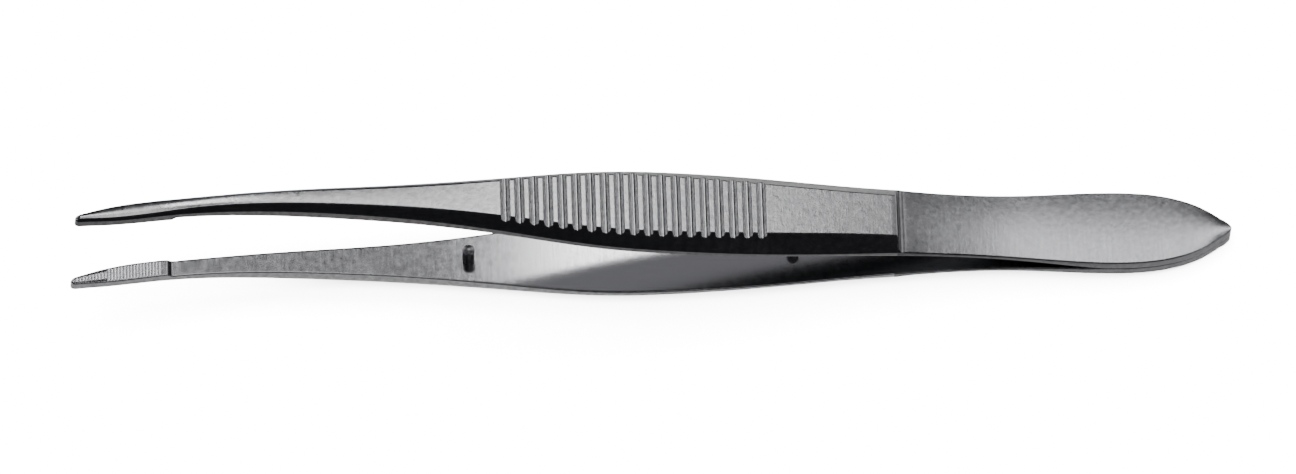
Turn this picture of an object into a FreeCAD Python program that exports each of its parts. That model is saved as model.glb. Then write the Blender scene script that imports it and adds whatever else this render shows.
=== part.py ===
import FreeCAD, Part
import math
import os

# Thumb forceps: two mirrored steel arms that are joined at a leaf-shaped butt, with two stop pins.
#
# Construction frame: X runs from the jaw tips to the butt, Y across the width and Z along the
# opening. The arms meet on the plane Z = 0. At the end the whole tool is laid down as it rests:
# on the outer side of its lower arm, +Z up, with its origin under the middle of its box.
# Lengths are millimetres and angles are degrees.

# Lengths along an arm, one after the other from the tip of the jaw to the end of the butt
JAW_LENGTH = 9.6
SHANK_LENGTH = 32.9
GROOVE_PITCH = 1.417
GROOVE_COUNT = 19
GRIP_TAIL_LENGTH = 13.5
SPRING_LENGTH = 19.85
BUTT_LENGTH = 12.8

# Widths of an arm seen from outside, and where they are taken
NOSE_LENGTH = 0.5
NOSE_WIDTH = 0.8
NOSE_SWELL_WIDTH = 1.43
NOSE_SWELL_RUN = 3.1
JAW_WIDTH = 1.74
SHANK_WIDTH = 2.44
SHANK_WAIST_RUN = 12.6
FLARE_WIDTH = 3.66
FLARE_RUN = 10.0
GRIP_FRONT_WIDTH = 5.85
SWELL_WIDTH = 8.3
SWELL_RUN = 9.9
GRIP_WIDTH = 8.78
GRIP_WIDEST_RUN = 16.9
GRIP_REAR_WIDTH = 8.48
STEP_WIDTH = 7.08
NECK_WIDTH = 7.05
NECK_RUN = 11.7
BUTT_WIDTH = 7.92
BUTT_WIDEST_RUN = 2.3
LEAF_SHOULDER_WIDTH = 6.4
LEAF_SHOULDER_RUN = 7.65
LEAF_TAPER_WIDTH = 4.72
LEAF_TAPER_RUN = 9.75
BUTT_POINT_WIDTH = 2.1
BUTT_POINT_LENGTH = 1.05

# The jaw end bends sideways
JAW_SWEEP = 2.1
JAW_SWEEP_RUN = 27.0
JAW_SWEEP_POWER = 2.6

# The inner faces: a straight spring half, a slow bend, and a straight shank half
SPRING_SPREAD_ANGLE = 5.228
SHANK_SPREAD_ANGLE = 1.45
BEND_RUN = 24.0
BEND_AHEAD = 1.7
PAD_RISE = 0.4
PAD_HEEL_RUN = 0.5

# Thicknesses of an arm, from its inner face to its outer face
NOSE_THICKNESS = 1.08
JAW_THICKNESS = 1.16
SHANK_FRONT_THICKNESS = 1.43
SHANK_FRONT_RUN = 3.1
SHANK_THICKNESS = 2.02
FLARE_THICKNESS = 2.28
GRIP_THICKNESS = 2.33
STEP_THICKNESS = 1.96
SPRING_FOOT_THICKNESS = 0.7
SPRING_THICKNESS = 0.58
SPRING_THIN_RUN = 6.0
SPRING_REAR_THICKNESS = 0.64
SPRING_REAR_RUN = 11.0
JOINT_THICKNESS = 1.21
BUTT_THICKNESS = 1.19
BUTT_FLAT_RUN = 4.0
STEP_RADIUS = 0.8
NOSE_DROP = 0.75

# Bevels along the outer edges: how far in they reach, and the upright edge that they leave
NOSE_BEVEL = 0.14
JAW_BEVEL = 0.36
SHANK_BEVEL = 0.6
FLARE_BEVEL = 0.8
GRIP_FRONT_BEVEL = 0.97
GRIP_BEVEL = 1.33
GRIP_REAR_BEVEL = 1.47
STEP_BEVEL = 1.27
NOSE_EDGE = 0.68
JAW_EDGE = 0.74
SHANK_EDGE = 1.05
FLARE_EDGE = 1.0
GRIP_FRONT_EDGE = 0.8
GRIP_EDGE = 0.65
GRIP_REAR_EDGE = 0.55
RUNOUT_LENGTH = 2.6
SHANK_ROUNDNESS = 0.6
GRIP_ROUNDNESS = 0.04
BEVEL_OVERRUN = 0.15

# Half-round grooves across the grip, and fine teeth across the jaw pad
GROOVE_RADIUS = 0.46
TOOTH_PITCH = 0.315
TOOTH_GAP = 0.15
TOOTH_DEPTH = 0.06
TOOTH_MARGIN = 0.5

# Stop pins, pressed into blind holes in the lower arm
PIN_DIAMETER = 1.2
PIN_SEAT_DEPTH = 1.2
PIN_CHAMFER = 0.15
FRONT_PIN_HEIGHT = 2.15
FRONT_PIN_SETBACK = 3.0
REAR_PIN_HEIGHT = 2.6
REAR_PIN_SETBACK = 3.5

# How far the cutting tools reach past the steel, and the spans that draw a curved stretch
CLEAR = 1.0
CURVE_SPANS = 4

UP = FreeCAD.Vector(0, 0, 1)
ACROSS = FreeCAD.Vector(0, 1, 0)
ORIGIN = FreeCAD.Vector(0, 0, 0)

# Stations along X that follow from the lengths
FIRST_GROOVE = JAW_LENGTH + SHANK_LENGTH
LAST_GROOVE = FIRST_GROOVE + GROOVE_PITCH * (GROOVE_COUNT - 1)
STEP_TOP = LAST_GROOVE + GRIP_TAIL_LENGTH
STEP_BASE = STEP_TOP + STEP_RADIUS
JOINT_START = STEP_BASE + SPRING_LENGTH
BUTT_END = JOINT_START + BUTT_LENGTH
PAD_HEEL = JAW_LENGTH + PAD_HEEL_RUN
SHANK_FRONT = JAW_LENGTH + SHANK_FRONT_RUN
SHANK_WAIST = JAW_LENGTH + SHANK_WAIST_RUN
FLARE = FIRST_GROOVE - FLARE_RUN
GRIP_WIDEST = FIRST_GROOVE + GRIP_WIDEST_RUN
BEND_MIDDLE = FIRST_GROOVE + BEND_AHEAD
RUNOUT = STEP_TOP - RUNOUT_LENGTH
SPRING_THIN = STEP_BASE + SPRING_THIN_RUN
SPRING_REAR = STEP_BASE + SPRING_REAR_RUN
BUTT_FLAT = JOINT_START + BUTT_FLAT_RUN


def spline(points, stations):
    """A smooth curve whose parameter is the station along X."""
    curve = Part.BSplineCurve()
    curve.interpolate(Points=points, Parameters=stations)
    return curve


def law(pairs):
    """A size that changes smoothly along the arm, from (station, size) pairs."""
    stations = [station for station, size in pairs]
    points = [FreeCAD.Vector(station, size, 0) for station, size in pairs]
    curve = spline(points, stations)
    return lambda x: curve.value(x).y


def bent_line(x, corner_x, corner_z, front_slope, rear_slope, run):
    """Height at x of two straight lines that an arc joins over a run, centred on their corner."""
    start = corner_x - run / 2
    end = corner_x + run / 2
    if x <= start:
        return corner_z + front_slope * (x - corner_x)
    if x >= end:
        return corner_z + rear_slope * (x - corner_x)
    bend = (rear_slope - front_slope) / (2 * run)
    return corner_z + front_slope * (x - corner_x) + bend * (x - start) ** 2


def inner(x):
    """Distance of the relieved inner face from the middle plane."""
    rear = -math.tan(math.radians(SPRING_SPREAD_ANGLE))
    front = -math.tan(math.radians(SHANK_SPREAD_ANGLE))
    height = rear * (BEND_MIDDLE - JOINT_START)
    return bent_line(x, BEND_MIDDLE, height, front, rear, BEND_RUN)


def sweep(x):
    """Sideways place of the arm's centre line, which bends only towards the tip."""
    ahead = max(0, JAW_SWEEP_RUN - x) / JAW_SWEEP_RUN
    return -JAW_SWEEP * ahead ** JAW_SWEEP_POWER


width = law([
    (0, NOSE_WIDTH - (NOSE_SWELL_WIDTH - NOSE_WIDTH) * NOSE_LENGTH / NOSE_SWELL_RUN),
    (NOSE_LENGTH, NOSE_WIDTH),
    (NOSE_SWELL_RUN, NOSE_SWELL_WIDTH),
    (JAW_LENGTH, JAW_WIDTH),
    (SHANK_WAIST, SHANK_WIDTH),
    (FLARE, FLARE_WIDTH),
    (FIRST_GROOVE, GRIP_FRONT_WIDTH),
    (FIRST_GROOVE + SWELL_RUN, SWELL_WIDTH),
    (GRIP_WIDEST, GRIP_WIDTH),
    (LAST_GROOVE, GRIP_REAR_WIDTH),
    (STEP_TOP, STEP_WIDTH),
    (STEP_BASE + NECK_RUN, NECK_WIDTH),
    (JOINT_START + BUTT_WIDEST_RUN, BUTT_WIDTH),
    (JOINT_START + LEAF_SHOULDER_RUN, LEAF_SHOULDER_WIDTH),
    (JOINT_START + LEAF_TAPER_RUN, LEAF_TAPER_WIDTH),
    (BUTT_END - BUTT_POINT_LENGTH, BUTT_POINT_WIDTH),
])
thickness = law([
    (0, NOSE_THICKNESS),
    (JAW_LENGTH, JAW_THICKNESS),
    (SHANK_FRONT, SHANK_FRONT_THICKNESS),
    (SHANK_WAIST, SHANK_THICKNESS),
    (FLARE, FLARE_THICKNESS),
    (GRIP_WIDEST, GRIP_THICKNESS),
    (STEP_TOP, STEP_THICKNESS),
])
spring_outer = law([
    (STEP_BASE, inner(STEP_BASE) + SPRING_FOOT_THICKNESS),
    (SPRING_THIN, inner(SPRING_THIN) + SPRING_THICKNESS),
    (SPRING_REAR, inner(SPRING_REAR) + SPRING_REAR_THICKNESS),
    (JOINT_START, JOINT_THICKNESS),
    (BUTT_FLAT, BUTT_THICKNESS),
])
bevel = law([
    (-CLEAR, NOSE_BEVEL),
    (JAW_LENGTH, JAW_BEVEL),
    (SHANK_WAIST, SHANK_BEVEL),
    (FLARE, FLARE_BEVEL),
    (FIRST_GROOVE, GRIP_FRONT_BEVEL),
    (GRIP_WIDEST, GRIP_BEVEL),
    (LAST_GROOVE, GRIP_REAR_BEVEL),
    (STEP_BASE, STEP_BEVEL),
])
edge_height = law([
    (-CLEAR, NOSE_EDGE),
    (JAW_LENGTH, JAW_EDGE),
    (SHANK_WAIST, SHANK_EDGE),
    (FLARE, FLARE_EDGE),
    (FIRST_GROOVE, GRIP_FRONT_EDGE),
    (GRIP_WIDEST, GRIP_EDGE),
    (RUNOUT, GRIP_REAR_EDGE),
    (STEP_BASE, SPRING_FOOT_THICKNESS),
])
roundness = law([
    (-CLEAR, SHANK_ROUNDNESS),
    (SHANK_WAIST, SHANK_ROUNDNESS),
    (FLARE, SHANK_ROUNDNESS),
    (GRIP_WIDEST, GRIP_ROUNDNESS),
    (STEP_BASE, GRIP_ROUNDNESS),
])


def grip_outer(x):
    """Distance of the outer face from the middle plane, ahead of the step."""
    return inner(x) + thickness(min(max(x, 0), STEP_TOP))


def side_curve(height, stations):
    """The edge that a height law draws in the XZ plane, through the given stations."""
    points = [FreeCAD.Vector(x, 0, height(x)) for x in stations]
    return spline(points, stations).toShape()


def line(start, end):
    """A straight edge between two (x, z) places in the XZ plane."""
    return Part.LineSegment(FreeCAD.Vector(start[0], 0, start[1]), FreeCAD.Vector(end[0], 0, end[1])).toShape()


def run_stations(middle, run):
    """Evenly spaced stations that hold a curved stretch."""
    return [middle + run * (part / CURVE_SPANS - 0.5) for part in range(CURVE_SPANS + 1)]


def side_face():
    """The arm seen from the side: pad, inner face, butt, spring, step and outer face."""
    bend = run_stations(BEND_MIDDLE, BEND_RUN)
    spring = [STEP_BASE, SPRING_THIN, SPRING_REAR, JOINT_START, BUTT_FLAT]
    pad_tip = (0, inner(0) - PAD_RISE)
    pad_heel = (JAW_LENGTH, inner(JAW_LENGTH) - PAD_RISE)
    relief = (PAD_HEEL, inner(PAD_HEEL))
    joint = (JOINT_START, 0)
    tail = BUTT_END + CLEAR
    step_foot = (STEP_BASE, spring_outer(STEP_BASE))
    step_wall = (STEP_TOP, step_foot[1] + STEP_RADIUS)
    step_lip = (STEP_TOP, grip_outer(STEP_TOP))
    nose_top = (NOSE_LENGTH, grip_outer(NOSE_LENGTH))
    nose_front = (0, nose_top[1] - NOSE_DROP)

    half = math.sqrt(0.5)
    fillet_middle = FreeCAD.Vector(STEP_BASE - STEP_RADIUS * half, 0, step_wall[1] - STEP_RADIUS * half)
    fillet = Part.Arc(FreeCAD.Vector(step_foot[0], 0, step_foot[1]), fillet_middle,
                      FreeCAD.Vector(step_wall[0], 0, step_wall[1])).toShape()
    nose_middle = FreeCAD.Vector(NOSE_LENGTH * (1 - half), 0, nose_front[1] + NOSE_DROP * half)
    nose = Part.Arc(FreeCAD.Vector(nose_top[0], 0, nose_top[1]), nose_middle,
                    FreeCAD.Vector(nose_front[0], 0, nose_front[1])).toShape()
    outer_stations = [NOSE_LENGTH, JAW_LENGTH, SHANK_FRONT, SHANK_WAIST, FLARE, FIRST_GROOVE,
                      (FIRST_GROOVE + GRIP_WIDEST) / 2, GRIP_WIDEST, LAST_GROOVE, STEP_TOP]
    edges = [
        line(pad_tip, pad_heel),
        line(pad_heel, relief),
        line(relief, (bend[0], inner(bend[0]))),
        side_curve(inner, bend),
        line((bend[-1], inner(bend[-1])), joint),
        line(joint, (tail, 0)),
        line((tail, 0), (tail, BUTT_THICKNESS)),
        line((tail, BUTT_THICKNESS), (BUTT_FLAT, BUTT_THICKNESS)),
        side_curve(spring_outer, spring),
        fillet,
        line(step_wall, step_lip),
        side_curve(grip_outer, outer_stations),
        nose,
        line(nose_front, pad_tip),
    ]
    return Part.Face(Part.Wire(Part.__sortEdges__(edges)))


def plan_edge(side):
    """One long edge of the arm seen from outside, from the nose to the butt's point."""
    stations = [
        NOSE_LENGTH,
        NOSE_SWELL_RUN,
        JAW_LENGTH,
        SHANK_FRONT,
        SHANK_WAIST,
        FLARE,
        FIRST_GROOVE,
        FIRST_GROOVE + SWELL_RUN,
        GRIP_WIDEST,
        LAST_GROOVE,
        STEP_TOP,
        STEP_BASE + NECK_RUN,
        JOINT_START + BUTT_WIDEST_RUN,
        JOINT_START + LEAF_SHOULDER_RUN,
        JOINT_START + LEAF_TAPER_RUN,
        BUTT_END - BUTT_POINT_LENGTH,
    ]
    points = [FreeCAD.Vector(x, sweep(x) + side * width(x) / 2, 0) for x in stations]
    return spline(points, stations).toShape()


def plan_face():
    """The arm seen from outside, with a round nose and a round butt point."""
    front = plan_edge(-1)
    back = plan_edge(1)
    nose = Part.Arc(front.firstVertex().Point, FreeCAD.Vector(0, sweep(0), 0), back.firstVertex().Point)
    point = Part.Arc(front.lastVertex().Point, FreeCAD.Vector(BUTT_END, 0, 0), back.lastVertex().Point)
    edges = [front, point.toShape(), back, nose.toShape()]
    return Part.Face(Part.Wire(Part.__sortEdges__(edges)))


def bevel_section(x, side):
    """Outline of the steel that the bevel takes off at a station, on one side."""
    half_width = width(max(x, 0)) / 2
    top = grip_outer(x)
    base = inner(x) + edge_height(x)
    reach = bevel(x)
    low = FreeCAD.Vector(half_width, base, 0)
    high = FreeCAD.Vector(half_width - reach, top, 0)
    corner = FreeCAD.Vector(half_width, top, 0)
    middle = (low + high) * 0.5
    pull = middle + (corner - middle) * roundness(x)

    def shoulder(part):
        return low * (1 - part) ** 2 + pull * (2 * part * (1 - part)) + high * part ** 2

    start = shoulder(-BEVEL_OVERRUN)
    end = shoulder(1 + BEVEL_OVERRUN)
    slope = (pull - low) * (1 + BEVEL_OVERRUN) - (high - pull) * BEVEL_OVERRUN
    handle = start + slope * (1 + 2 * BEVEL_OVERRUN)

    def place(flat):
        return FreeCAD.Vector(x, sweep(x) + side * flat.x, flat.y)

    lid = top + CLEAR
    face = Part.BezierCurve()
    face.setPoles([place(start), place(handle), place(end)])
    above = FreeCAD.Vector(end.x, lid, 0)
    outside = FreeCAD.Vector(half_width + CLEAR, lid, 0)
    beside = FreeCAD.Vector(half_width + CLEAR, start.y, 0)
    rim = [end, above, outside, beside, start]
    sides = [Part.LineSegment(place(a), place(b)).toShape() for a, b in zip(rim, rim[1:])]
    return Part.Wire([face.toShape()] + sides)


def bevel_cutter(side):
    """The steel that one long bevel takes off, from ahead of the nose to the foot of the step."""
    stations = [-CLEAR, NOSE_SWELL_RUN, JAW_LENGTH, SHANK_FRONT, SHANK_WAIST, FLARE, FIRST_GROOVE,
                FIRST_GROOVE + SWELL_RUN, GRIP_WIDEST, LAST_GROOVE, RUNOUT, STEP_BASE]
    return Part.makeLoft([bevel_section(x, side) for x in stations], True, False)


def groove_cutters():
    """One round bar lying across the grip for each groove, its axis on the outer face."""
    bars = []
    for number in range(GROOVE_COUNT):
        x = FIRST_GROOVE + GROOVE_PITCH * number
        start = FreeCAD.Vector(x, -GRIP_WIDTH, grip_outer(x))
        bars.append(Part.makeCylinder(GROOVE_RADIUS, 2 * GRIP_WIDTH, start, ACROSS))
    return bars


def tooth_cutters():
    """One V-shaped bar for each tooth gap across the jaw pad."""
    count = int((JAW_LENGTH - 2 * TOOTH_MARGIN) / TOOTH_PITCH)
    slope = math.radians(SHANK_SPREAD_ANGLE)
    bars = []
    for number in range(count):
        x = TOOTH_MARGIN + TOOTH_PITCH * (number + 0.5)
        face = inner(x) - PAD_RISE
        half = TOOTH_GAP / 2
        left = FreeCAD.Vector(x - half, -GRIP_WIDTH, face + half * math.tan(slope))
        right = FreeCAD.Vector(x + half, -GRIP_WIDTH, face - half * math.tan(slope))
        root = FreeCAD.Vector(x, -GRIP_WIDTH, face + TOOTH_DEPTH)
        low_left = left - UP * CLEAR
        low_right = right - UP * CLEAR
        outline = Part.makePolygon([left, root, right, low_right, low_left, left])
        bars.append(Part.Face(outline).extrude(ACROSS * (2 * GRIP_WIDTH)))
    return bars


def upper_arm():
    """The arm above the middle plane: side view and plan view cut from one bar, then finished."""
    depth = ACROSS * (2 * GRIP_WIDTH)
    side = side_face()
    side.translate(ACROSS * -GRIP_WIDTH)
    height = grip_outer(SHANK_WAIST) + 2 * CLEAR
    plan = plan_face()
    plan.translate(UP * -CLEAR)
    arm = side.extrude(depth).common(plan.extrude(UP * (height + CLEAR)))
    arm = arm.cut([bevel_cutter(-1), bevel_cutter(1)])
    arm = arm.cut(groove_cutters())
    arm = arm.cut(tooth_cutters())
    return arm.Solids[0]


def pin_axis(x):
    """Foot and direction of a pin that stands square on the lower arm's inner face."""
    foot = FreeCAD.Vector(x, 0, -inner(x))
    slope = (inner(x + CLEAR) - inner(x - CLEAR)) / (2 * CLEAR)
    direction = FreeCAD.Vector(slope, 0, 1)
    direction.normalize()
    return foot, direction


def pin(x, height):
    """A turned pin with a chamfered head, seated in its hole and standing on the inner face."""
    radius = PIN_DIAMETER / 2
    outline = [
        (0, -PIN_SEAT_DEPTH),
        (radius, -PIN_SEAT_DEPTH),
        (radius, height - PIN_CHAMFER),
        (radius - PIN_CHAMFER, height),
        (0, height),
        (0, -PIN_SEAT_DEPTH),
    ]
    profile = Part.makePolygon([FreeCAD.Vector(r, 0, z) for r, z in outline])
    body = Part.Face(profile).revolve(ORIGIN, UP, 360)
    foot, direction = pin_axis(x)
    body.Placement = FreeCAD.Placement(foot, FreeCAD.Rotation(UP, direction))
    return body


def pin_hole(x):
    """The blind hole for a pin, from above the inner face down to the pin's seat."""
    foot, direction = pin_axis(x)
    return Part.makeCylinder(PIN_DIAMETER / 2, PIN_SEAT_DEPTH + CLEAR, foot - direction * PIN_SEAT_DEPTH, direction)


def lower_arm(upper, pin_stations):
    """The mirror image of the upper arm, with a blind hole for each pin."""
    arm = upper.mirror(ORIGIN, UP)
    arm = arm.cut([pin_hole(x) for x in pin_stations])
    return arm.Solids[0]


def resting_pitch():
    """Angle that lays the lower arm's grip and the butt's end on one flat surface."""
    samples = 400
    span = STEP_TOP - FLARE
    best = 0
    for number in range(samples + 1):
        x = FLARE + span * number / samples
        best = max(best, (grip_outer(x) - BUTT_THICKNESS) / (BUTT_END - x))
    return math.degrees(math.atan(best))


def lay_down(pieces):
    """Turn all pieces to the resting pitch and put the origin under the middle of their box."""
    pitch = resting_pitch()
    for piece in pieces.values():
        piece.rotate(ORIGIN, ACROSS, pitch)
    box = FreeCAD.BoundBox()
    for piece in pieces.values():
        box.add(piece.optimalBoundingBox(False, False))
    shift = FreeCAD.Vector(-box.Center.x, -box.Center.y, -box.ZMin)
    for piece in pieces.values():
        piece.translate(shift)
    print("resting pitch %.2f, box %.2f x %.2f x %.2f, shift %.3f %.3f %.3f" % (
        pitch, box.XLength, box.YLength, box.ZLength, shift.x, shift.y, shift.z))


def main():
    """Make every piece and write each one to its own file."""
    os.makedirs("parts", exist_ok=True)
    front_pin = FIRST_GROOVE - FRONT_PIN_SETBACK
    rear_pin = LAST_GROOVE + REAR_PIN_SETBACK
    upper = upper_arm()
    pieces = {
        "upper_arm": upper,
        "lower_arm": lower_arm(upper, [front_pin, rear_pin]),
        "front_stop_pin": pin(front_pin, FRONT_PIN_HEIGHT),
        "rear_stop_pin": pin(rear_pin, REAR_PIN_HEIGHT),
    }
    lay_down(pieces)
    for name, shape in pieces.items():
        shape.exportStep("parts/%s.step" % name)
        print("%s: %.2f cubic mm, %d faces, valid %s" % (name, shape.Volume, len(shape.Faces), shape.isValid()))


main()
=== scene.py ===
"""Thumb forceps of satin stainless steel on a white studio sweep.

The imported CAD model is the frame. Both arms are swept again here from the same sizes as the
part's source, because a ground steel arm lives by its small roundings: broken edges, the soft
rims of the grip grooves and the ground runs of the long bevels. They stand for the CAD arms.

Sizes in the dataclasses are millimetres and degrees. Blender's objects are in metres.
"""

from __future__ import annotations

import logging
import math
from abc import ABC, abstractmethod
from dataclasses import dataclass, field
from enum import Enum, IntEnum
from typing import Any, Callable, Sequence

import bpy
import numpy as np
from mathutils import Matrix, Vector

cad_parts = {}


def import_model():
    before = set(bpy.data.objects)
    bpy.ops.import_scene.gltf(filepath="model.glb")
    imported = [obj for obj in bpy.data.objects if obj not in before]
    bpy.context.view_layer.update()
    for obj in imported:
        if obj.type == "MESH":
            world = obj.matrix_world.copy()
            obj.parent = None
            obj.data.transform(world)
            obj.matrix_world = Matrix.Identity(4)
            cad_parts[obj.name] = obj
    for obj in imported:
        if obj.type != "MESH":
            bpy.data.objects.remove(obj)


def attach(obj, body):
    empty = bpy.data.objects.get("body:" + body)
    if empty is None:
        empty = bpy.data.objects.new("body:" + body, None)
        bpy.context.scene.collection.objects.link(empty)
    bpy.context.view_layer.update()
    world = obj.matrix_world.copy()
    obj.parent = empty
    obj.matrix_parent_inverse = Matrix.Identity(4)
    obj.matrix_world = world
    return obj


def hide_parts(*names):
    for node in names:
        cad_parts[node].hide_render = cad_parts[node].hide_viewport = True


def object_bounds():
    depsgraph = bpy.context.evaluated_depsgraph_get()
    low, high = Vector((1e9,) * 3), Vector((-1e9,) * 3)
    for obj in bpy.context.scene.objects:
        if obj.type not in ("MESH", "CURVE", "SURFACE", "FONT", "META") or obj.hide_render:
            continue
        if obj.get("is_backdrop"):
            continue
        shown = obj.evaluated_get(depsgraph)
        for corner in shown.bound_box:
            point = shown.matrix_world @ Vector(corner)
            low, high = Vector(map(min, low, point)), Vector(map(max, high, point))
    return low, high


Socket = bpy.types.NodeSocket
Tree = bpy.types.NodeTree
Material = bpy.types.Material
Thing = bpy.types.Object

LOG = logging.getLogger("thumb_forceps")
MM = 0.001
LAMP_TARGET = (0.0, 0.0, 0.006)  # metres

SHORTEST_SIDE = 1e-9  # keeps a side without length out of a division
SMALLEST = 1e-6  # keeps a section without height out of a division
EASE_SHARE = 0.3  # of a side: the most that the rounding of its corner takes
HOLD_REACH = 2.4  # roundings from a corner to the point that holds the flat beside it
HOLD_SHARE = 0.7  # of a side: the farthest that this point goes


class ArmPlace(Enum):
    """Which of the two mirrored arms is meant, as the sign of its Z in the making frame."""

    UPPER = 1
    LOWER = -1


class SteelZone(IntEnum):
    """The zones of an arm that get different materials, the inner and leaf ones with darker tints
    of painted shade, as its material slots.
    """

    OUTER = 0
    INNER = 1
    GROOVE = 2
    LEAF = 3


class LampReach(Enum):
    """Whether a lamp shows in polished steel, or only lights matt surfaces such as the floor."""

    STEEL_AND_FLOOR = "steel and floor"
    FLOOR_ONLY = "floor only"


# ----- Small tools -----


def linear_rgba(hex_colour: str) -> tuple[float, float, float, float]:
    """Turns an sRGB hex colour into Blender's linear colour.

    Args:
        hex_colour: Six hex digits.

    Returns:
        Linear red, green, blue and an alpha of 1.
    """
    channels = [int(hex_colour[place:place + 2], 16) / 255 for place in (0, 2, 4)]
    linear = [c / 12.92 if c <= 0.04045 else ((c + 0.055) / 1.055) ** 2.4 for c in channels]
    return linear[0], linear[1], linear[2], 1.0


def add_node(
    tree: Tree,
    kind: str,
    settings: dict[str, Any] | None = None,
    values: dict[str | int, Any] | None = None,
    links: dict[str | int, Socket] | None = None,
) -> bpy.types.Node:
    """Adds one node with its settings, its socket values and the links that feed it.

    Args:
        tree: The node tree that gets the node.
        kind: Blender's name of the node type, without the ShaderNode that starts it.
        settings: Properties of the node itself.
        values: Constants for its input sockets, by socket name or number.
        links: Output sockets of other nodes that feed its inputs, by the same.

    Returns:
        The new node.
    """
    node = tree.nodes.new("ShaderNode" + kind)
    for name, value in (settings or {}).items():
        setattr(node, name, value)
    for name, value in (values or {}).items():
        node.inputs[name].default_value = value
    for name, socket in (links or {}).items():
        tree.links.new(socket, node.inputs[name])
    return node


def add_noise(tree: Tree, place: Socket, scale: float, detail: float, roughness: float) -> Socket:
    """Adds noise over given coordinates, scaled in waves to the unit, and gives its value."""
    values = {"Scale": scale, "Detail": detail, "Roughness": roughness}
    return add_node(tree, "TexNoise", values=values, links={"Vector": place}).outputs["Fac"]


def add_bump(tree: Tree, height: Socket, depth: float, under: Socket | None = None) -> Socket:
    """Adds a relief.

    Args:
        tree: The node tree that gets it.
        height: The pattern that it follows.
        depth: Its depth in millimetres.
        under: Normal of the relief under it.

    Returns:
        The normal of the surface with it.
    """
    links = {"Height": height}
    if under is not None:
        links["Normal"] = under
    values = {"Strength": 1.0, "Distance": depth * MM}
    return add_node(tree, "Bump", values=values, links=links).outputs["Normal"]


def link_object(name: str, data: bpy.types.ID) -> Thing:
    """Makes an object and links it to the scene.

    Args:
        name: Name of the object.
        data: Its mesh, lamp or camera.

    Returns:
        The object.
    """
    thing = bpy.data.objects.new(name, data)
    bpy.context.scene.collection.objects.link(thing)
    return thing


def quarter_turn(parts: int) -> list[float]:
    """Gives the angles that cut a quarter turn into equal parts, in radians, both ends included."""
    return [math.radians(90 * part / parts) for part in range(parts + 1)]


def shortfall(place: float, run: float) -> float:
    """Gives how far a quarter circle over a run is still from its full height of 1."""
    ahead = min(max(1 - place / run, 0.0), 1.0)
    return 1 - math.sqrt(1 - ahead**2)


class SizeLaw:
    """A size that changes smoothly along an arm, drawn through given stations."""

    def __init__(self, pairs: Sequence[tuple[float, float]]) -> None:
        """Fits the curve.

        Args:
            pairs: (station, size) pairs from the jaw towards the butt.
        """
        self.stations = np.array([station for station, _ in pairs], dtype=float)
        self.sizes = np.array([size for _, size in pairs], dtype=float)
        self.slopes = self._fit_slopes()

    def _end_slope(self, order: Sequence[int]) -> float:
        """Gives the slope at an end of the parabola through the three places nearest to it.

        Args:
            order: Places of the three points, the end itself first.

        Returns:
            The slope at the first of them.
        """
        a, b, c = (self.stations[place] for place in order)
        fa, fb, fc = (self.sizes[place] for place in order)
        return (
            fa * (2 * a - b - c) / ((a - b) * (a - c))
            + fb * (a - c) / ((b - a) * (b - c))
            + fc * (a - b) / ((c - a) * (c - b))
        )

    def _fit_slopes(self) -> np.ndarray:
        """Solves for the slopes that leave the curve without a kink in its curvature.

        Returns:
            One slope for each station.
        """
        run = np.diff(self.stations)
        rise = np.diff(self.sizes)
        count = len(self.stations)
        matrix = np.zeros((count, count))
        right = np.zeros(count)
        matrix[0, 0] = matrix[-1, -1] = 1.0
        right[0] = self._end_slope((0, 1, 2))
        right[-1] = self._end_slope((count - 1, count - 2, count - 3))
        for place in range(1, count - 1):
            before, after = run[place - 1], run[place]
            matrix[place, place - 1:place + 2] = (1 / before, 2 / before + 2 / after, 1 / after)
            right[place] = 3 * (rise[place - 1] / before**2 + rise[place] / after**2)
        return np.linalg.solve(matrix, right)

    def __call__(self, station: float) -> float:
        """Gives the size at a station, held at its end values beyond the ends.

        Args:
            station: Place along the arm.

        Returns:
            The size there.
        """
        x = min(max(station, self.stations[0]), self.stations[-1])
        place = int(np.clip(np.searchsorted(self.stations, x) - 1, 0, len(self.stations) - 2))
        run = self.stations[place + 1] - self.stations[place]
        t = (x - self.stations[place]) / run
        return float(
            self.sizes[place] * (2 * t**3 - 3 * t**2 + 1)
            + self.slopes[place] * run * (t**3 - 2 * t**2 + t)
            + self.sizes[place + 1] * (3 * t**2 - 2 * t**3)
            + self.slopes[place + 1] * run * (t**3 - t**2)
        )


def eased_corner(
    before: np.ndarray, corner: np.ndarray, after: np.ndarray, radius: float
) -> list[np.ndarray]:
    """Breaks a corner of an outline and holds the flats beside it straight.

    Args:
        before: The outline's point ahead of the corner.
        corner: The sharp corner.
        after: The outline's point behind the corner.
        radius: How far from the corner the rounding starts.

    Returns:
        Five points: a holding point, the three of the rounding, and a holding point.
    """
    to_before, to_after = before - corner, after - corner
    ahead = max(float(np.linalg.norm(to_before)), SHORTEST_SIDE)
    behind = max(float(np.linalg.norm(to_after)), SHORTEST_SIDE)
    reach = min(radius, EASE_SHARE * ahead, EASE_SHARE * behind)
    first = corner + to_before / ahead * reach
    last = corner + to_after / behind * reach
    hold_first = corner + to_before / ahead * min(HOLD_REACH * reach, HOLD_SHARE * ahead)
    hold_last = corner + to_after / behind * min(HOLD_REACH * reach, HOLD_SHARE * behind)
    return [hold_first, first, (first + last) * 0.25 + corner * 0.5, last, hold_last]


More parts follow.
